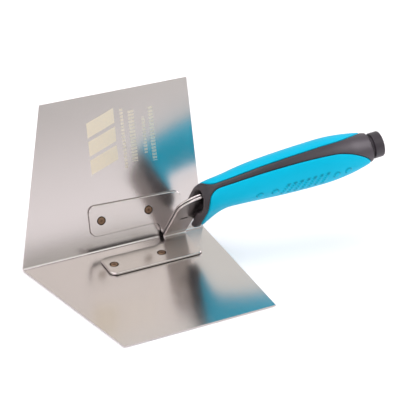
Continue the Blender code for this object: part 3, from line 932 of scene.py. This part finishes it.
def drop_crumbs(item):
    """Keep only the largest shell, without the slivers that a remesh can leave loose."""
    bm = bmesh.new()
    bm.from_mesh(item.data)
    bm.verts.ensure_lookup_table()
    shells, seen = [], set()
    for start in bm.verts:
        if start in seen:
            continue
        seen.add(start)
        shell = [start]
        for vert in shell:
            near = [edge.other_vert(vert) for edge in vert.link_edges]
            new = [other for other in near if other not in seen]
            seen.update(new)
            shell.extend(new)
        shells.append(shell)
    shells.sort(key=len)
    for shell in shells[:-1]:
        bmesh.ops.delete(bm, geom=shell, context="VERTS")
    bm.to_mesh(item.data)
    bm.free()


class TROWEL_OT_core(bpy.types.Operator):
    """Mould the black core with its hood, guard slot, tang slot and plug bore"""
    bl_idname = "trowel.core"
    bl_label = "Handle core"

    def execute(self, context):
        _, _, sizes, finishes = scene_sizes()

        def skin(loop, angle):
            share = loop / (CORE_LOOPS - 1)
            share = 0.5 * share + 0.5 * share**2
            return handle_point(HANDLE_START + (HANDLE_END - HANDLE_START) * share, angle)

        core = add_object("core_moulding", loft(skin, CORE_LOOPS, CORE_ROUND))

        def pocket_point(along_share, around_share, outer):
            along, angle, section, _, _ = grip_place(along_share, around_share, GRIP_GAP)
            inset = -2 * MM if outer else sizes.grip_thick + GRIP_GAP
            return handle_point(along, angle, inset, section)

        def hood(loop, angle):
            share, shrink, narrow = HOOD_LOOPS[max(loop - 1, 0)]
            depth = share * sizes.hood_depth if loop else -HOOD_OVERRUN
            up, across = cos(angle), sin(angle)
            height = HOOD_TOP - HOOD_MIDDLE if up >= 0 else HOOD_MIDDLE - HOOD_BOTTOM
            lift = max(depth, 0) * tan(TANG_SLOPE)
            return Vector((HANDLE_START + depth, sizes.hood_half_width * narrow * across,
                           HOOD_MIDDLE + lift + height * shrink * up))

        pocket = add_object("cut pocket", grip_solid(70, 90, pocket_point))
        cavity = add_object("cut hood", loft(hood, len(HOOD_LOOPS) + 1, 48))
        low, high = HOOD_BOTTOM - 20 * MM, HOOD_MIDDLE - 4 * MM
        front = HANDLE_START - 3 * MM
        bm = bmesh.new()
        size = (SLOT_END - front, 2 * sizes.slot_half_width, high - low)
        middle = ((front + SLOT_END) / 2, 0, (low + high) / 2)
        bmesh.ops.create_cube(bm, size=1, matrix=Matrix.LocRotScale(middle, None, size))
        slot = add_object("cut guard slot", bm)
        bm = bmesh.new()
        half = context.scene.trowel_brackets.plate + 0.35 * MM
        face = bm.faces.new([bm.verts.new((x, -half, z)) for x, z in tang_outline(20 * MM, GAP)])
        grown = bmesh.ops.extrude_face_region(bm, geom=[face])["geom"]
        moved = [v for v in grown if isinstance(v, bmesh.types.BMVert)]
        bmesh.ops.translate(bm, verts=moved, vec=(0, 2 * half, 0))
        tangs = add_object("cut tang slot", bm)
        plug = plug_place()
        bore = rod("cut bore", PLUG_STEM_RADIUS + GAP, plug @ Vector((0, 0, -PLUG_STEM_LENGTH)),
                   plug @ Vector((0, 0, 3 * MM)))
        cut(core, [pocket, cavity, slot, tangs, bore])
        remesh = core.modifiers.new("even skin", "REMESH")
        remesh.mode = "VOXEL"
        remesh.voxel_size = CORE_VOXEL
        smooth = core.modifiers.new("rounded edges", "CORRECTIVE_SMOOTH")
        smooth.factor = 0.6
        smooth.iterations = 4
        smooth.use_only_smooth = True
        apply_modifiers(core)
        drop_crumbs(core)
        # rear=2.2 is a painted highlight that makes the rear of the core up to 2.2 times lighter
        black = moulded_plastic("black polypropylene, spark-eroded mould",
                                tuple(finishes.black), 0.42, 1.0, 0.12, 0.55, rear=2.2)
        finish_piece(core, black, "handle_core", sharp=180)
        return {"FINISHED"}


# ---------------------------------------------------------------- end plug

PLUG_AXIS_SLOPE = atan(0.2)
PLUG_STEM_RADIUS = 5.0 * MM
PLUG_STEM_LENGTH = 14 * MM
PLUG_NECK_RADIUS = 6.8 * MM
PLUG_NECK_LENGTH = 1.6 * MM
PLUG_HEAD_LENGTH = 6.4 * MM
PLUG_DOME = 1.0 * MM


def plug_place():
    origin = Vector((HANDLE_END, 0, section_at(HANDLE_END)[1]))
    return Matrix.Translation(origin) @ Matrix.Rotation(pi / 2 - PLUG_AXIS_SLOPE, 4, "Y")


class TROWEL_OT_plug(bpy.types.Operator):
    """Turn the end plug: stem, groove and rounded head"""
    bl_idname = "trowel.plug"
    bl_label = "End plug"

    def execute(self, context):
        _, _, sizes, finishes = scene_sizes()
        radius = sizes.plug_radius
        start = GAP + PLUG_NECK_LENGTH
        end = start + PLUG_HEAD_LENGTH
        lip = 0.9 * MM
        profile = [(0, -PLUG_STEM_LENGTH), (PLUG_STEM_RADIUS, -PLUG_STEM_LENGTH),
                   (PLUG_STEM_RADIUS, GAP), (PLUG_NECK_RADIUS, GAP),
                   (PLUG_NECK_RADIUS, start)]
        profile += [(radius - 0.3 * MM, start), (radius - 0.08 * MM, start + 0.08 * MM),
                    (radius, start + 0.3 * MM)]
        profile += [(radius + lip * (cos(a) - 1), end - lip + lip * sin(a))
                    for a in (0, pi / 10, pi / 5, 3 * pi / 10, 2 * pi / 5, pi / 2)]
        profile += [(radius * 0.62, end + 0.55 * PLUG_DOME), (radius * 0.56, end + 0.2 * PLUG_DOME),
                    (radius * 0.3, end + 0.3 * PLUG_DOME), (0, end + 0.35 * PLUG_DOME)]
        bm = bmesh.new()
        verts = [bm.verts.new((r, 0, z)) for r, z in profile]
        edges = [bm.edges.new(pair) for pair in zip(verts, verts[1:])]
        bmesh.ops.spin(bm, geom=verts + edges, cent=(0, 0, 0), axis=(0, 0, 1), dvec=(0, 0, 0),
                       angle=2 * pi, steps=72, use_merge=True, use_duplicate=False)
        bmesh.ops.remove_doubles(bm, verts=bm.verts, dist=0.01 * MM)
        bmesh.ops.transform(bm, matrix=plug_place(), verts=bm.verts)
        # painted highlight: the plug takes the core's black made 1.5 times lighter, for light caught
        # at the rear
        dark = moulded_plastic("black polypropylene, turned plug", scaled(finishes.black, 1.5),
                               0.4, 0.6, 0.04, 0.5)
        finish_piece(add_object("plug_turning", bm), dark, "end_plug", sharp=30)
        return {"FINISHED"}


# ---------------------------------------------------------------- studio

CAMERA_PLACE = (-0.30665, -0.65597, 0.47447)
CAMERA_TURN = (60.364, -1.019, -26.875)
CAMERA_LENS = 126.0
FLOOR_GAP = 0.4 * MM
COOL = (1.0, 0.94, 0.99)
WARM = (1.0, 1.0, 0.98)
LIGHTS = (                              # name, place, aim, width, height, power, colour
    ("overhead softbox", (-0.30, 0.20, 1.30), (0, 0, 0.05), 1.0, 1.1, 9.6, COOL),
    ("left softbox", (-1.00, -0.95, 0.75), (0, 0, 0.05), 1.4, 1.3, 7.4, COOL),
    ("front softbox", (0.55, -0.53, 1.10), (0, 0, 0.05), 1.0, 0.6, 1.5, WARM),
    ("right softbox", (1.50, -0.15, 0.70), (0.05, 0, 0.05), 0.8, 0.8, 12.0, COOL),
)


HORIZON = (0.35, 0.05)                  # height of the view where the horizon's light starts, is full
BACKWARDS = (-0.7, 0.0)                 # and how far back it turns from weak to strong
HORIZON_LIGHT = (0.15, 0.8)
GLOWS = (               # direction, cosine where the patch starts, cosine where it is full
    ((0.40, -0.64, 0.65), 0.84, 0.94),
    ((0.41, -0.90, 0.16), 0.975, 0.99),
    ((0.40, 0.77, 0.49), 0.82, 0.93),
    ((-0.94, 0.15, 0.30), 0.75, 0.90),
)
AIR_LOW = (0.36, 0.34, 0.35, 1.0)
AIR_HIGH = (0.92, 0.93, 0.90, 1.0)


def studio_air(world):
    """Dim air with a bright horizon and soft bright patches where the panels of a tent hang."""
    direction = add_node(world, "ShaderNodeTexCoord").outputs["Generated"]
    parts = add_node(world, "ShaderNodeSeparateXYZ", {"Vector": direction})
    horizon = add_node(world, "ShaderNodeMapRange", {"Value": parts.outputs["Z"],
                                                     "From Min": HORIZON[0],
                                                     "From Max": HORIZON[1]})
    behind = add_node(world, "ShaderNodeMapRange", {"Value": parts.outputs["Y"],
                                                    "From Min": BACKWARDS[0],
                                                    "From Max": BACKWARDS[1],
                                                    "To Min": HORIZON_LIGHT[0],
                                                    "To Max": HORIZON_LIGHT[1]})
    share = add_node(world, "ShaderNodeMath", (horizon, behind), operation="MULTIPLY")
    for toward, rim, full in GLOWS:
        near = add_node(world, "ShaderNodeVectorMath", (direction, toward),
                        operation="DOT_PRODUCT").outputs["Value"]
        glow = add_node(world, "ShaderNodeMapRange", {"Value": near, "From Min": rim,
                                                      "From Max": full})
        share = add_node(world, "ShaderNodeMath", (share, glow), operation="MAXIMUM")
    tone = add_node(world, "ShaderNodeMix", (share, AIR_LOW, AIR_HIGH), data_type="RGBA")
    set_inputs(world, world.node_tree.nodes["Background"], {"Color": tone})


class TROWEL_OT_stage(bpy.types.Operator):
    """Set the pale floor, the soft lights and the camera"""
    bl_idname = "trowel.stage"
    bl_label = "Stage"

    def execute(self, context):
        finishes = context.scene.trowel_finishes
        bm = bmesh.new()
        bmesh.ops.create_grid(bm, x_segments=8, y_segments=8, size=4.0)
        floor = add_object("studio_floor", bm, recalculate=False)
        floor.data.transform(Matrix.Translation((0, 0, -FLOOR_GAP)))
        paper, shader = new_material("matt white paper floor")
        fibre = add_node(paper, "ShaderNodeTexNoise", {"Vector": object_place(paper),
                                                       "Scale": 1 / (60 * MM), "Detail": 2.0})
        tone = tuple(finishes.floor)
        white = add_node(paper, "ShaderNodeMix", (fibre, scaled(tone, 0.97), tone),
                         data_type="RGBA")
        set_inputs(paper, shader, {"Base Color": white, "Roughness": 0.9})
        floor.data.materials.append(paper)

        for name, place, aim, width, height, power, tint in LIGHTS:
            data = bpy.data.lights.new(name, "AREA")
            data.color = tint
            data.shape = "RECTANGLE"
            data.size, data.size_y, data.energy = width, height, power
            lamp = bpy.data.objects.new(name, data)
            lamp.location = place
            lamp.rotation_euler = (Vector(aim) - Vector(place)).to_track_quat("-Z", "Y").to_euler()
            context.scene.collection.objects.link(lamp)
        world = bpy.data.worlds.new("studio air")
        world.use_nodes = True
        studio_air(world)
        context.scene.world = world
        context.scene.view_settings.view_transform = "Standard"

        data = bpy.data.cameras.new("studio camera")
        data.lens, data.sensor_width = CAMERA_LENS, 36.0
        data.clip_start, data.clip_end = 0.01, 20.0
        camera = bpy.data.objects.new("studio camera", data)
        camera.location = CAMERA_PLACE
        camera.rotation_euler = Euler([radians(a) for a in CAMERA_TURN])
        context.scene.collection.objects.link(camera)
        context.scene.camera = camera
        return {"FINISHED"}


# ---------------------------------------------------------------- panel and run

STEPS = (TROWEL_OT_blade, TROWEL_OT_brackets, TROWEL_OT_rivets, TROWEL_OT_core, TROWEL_OT_grip,
         TROWEL_OT_plug, TROWEL_OT_stage)
GROUPS = {"trowel_blade": BladeSizes, "trowel_brackets": BracketSizes,
          "trowel_handle": HandleSizes, "trowel_finishes": Finishes}


class TROWEL_PT_build(bpy.types.Panel):
    """Sizes, colours and build steps"""
    bl_idname = "TROWEL_PT_build"
    bl_label = "Inside Corner Trowel"
    bl_space_type = "VIEW_3D"
    bl_region_type = "UI"
    bl_category = "Trowel"

    def draw(self, context):
        for name in GROUPS:
            box = self.layout.box()
            group = getattr(context.scene, name)
            for key in group.__annotations__:
                box.prop(group, key)
        for step in STEPS:
            self.layout.operator(step.bl_idname)


def register():
    for item in (*GROUPS.values(), *STEPS, TROWEL_PT_build):
        bpy.utils.register_class(item)
    for name, group in GROUPS.items():
        setattr(bpy.types.Scene, name, PointerProperty(type=group))


def unregister():
    for name in GROUPS:
        delattr(bpy.types.Scene, name)
    for item in reversed((*GROUPS.values(), *STEPS, TROWEL_PT_build)):
        bpy.utils.unregister_class(item)


def main():
    register()
    for step in STEPS:
        group, name = step.bl_idname.split(".")
        getattr(getattr(bpy.ops, group), name)()


if __name__ == "__main__":
    main()
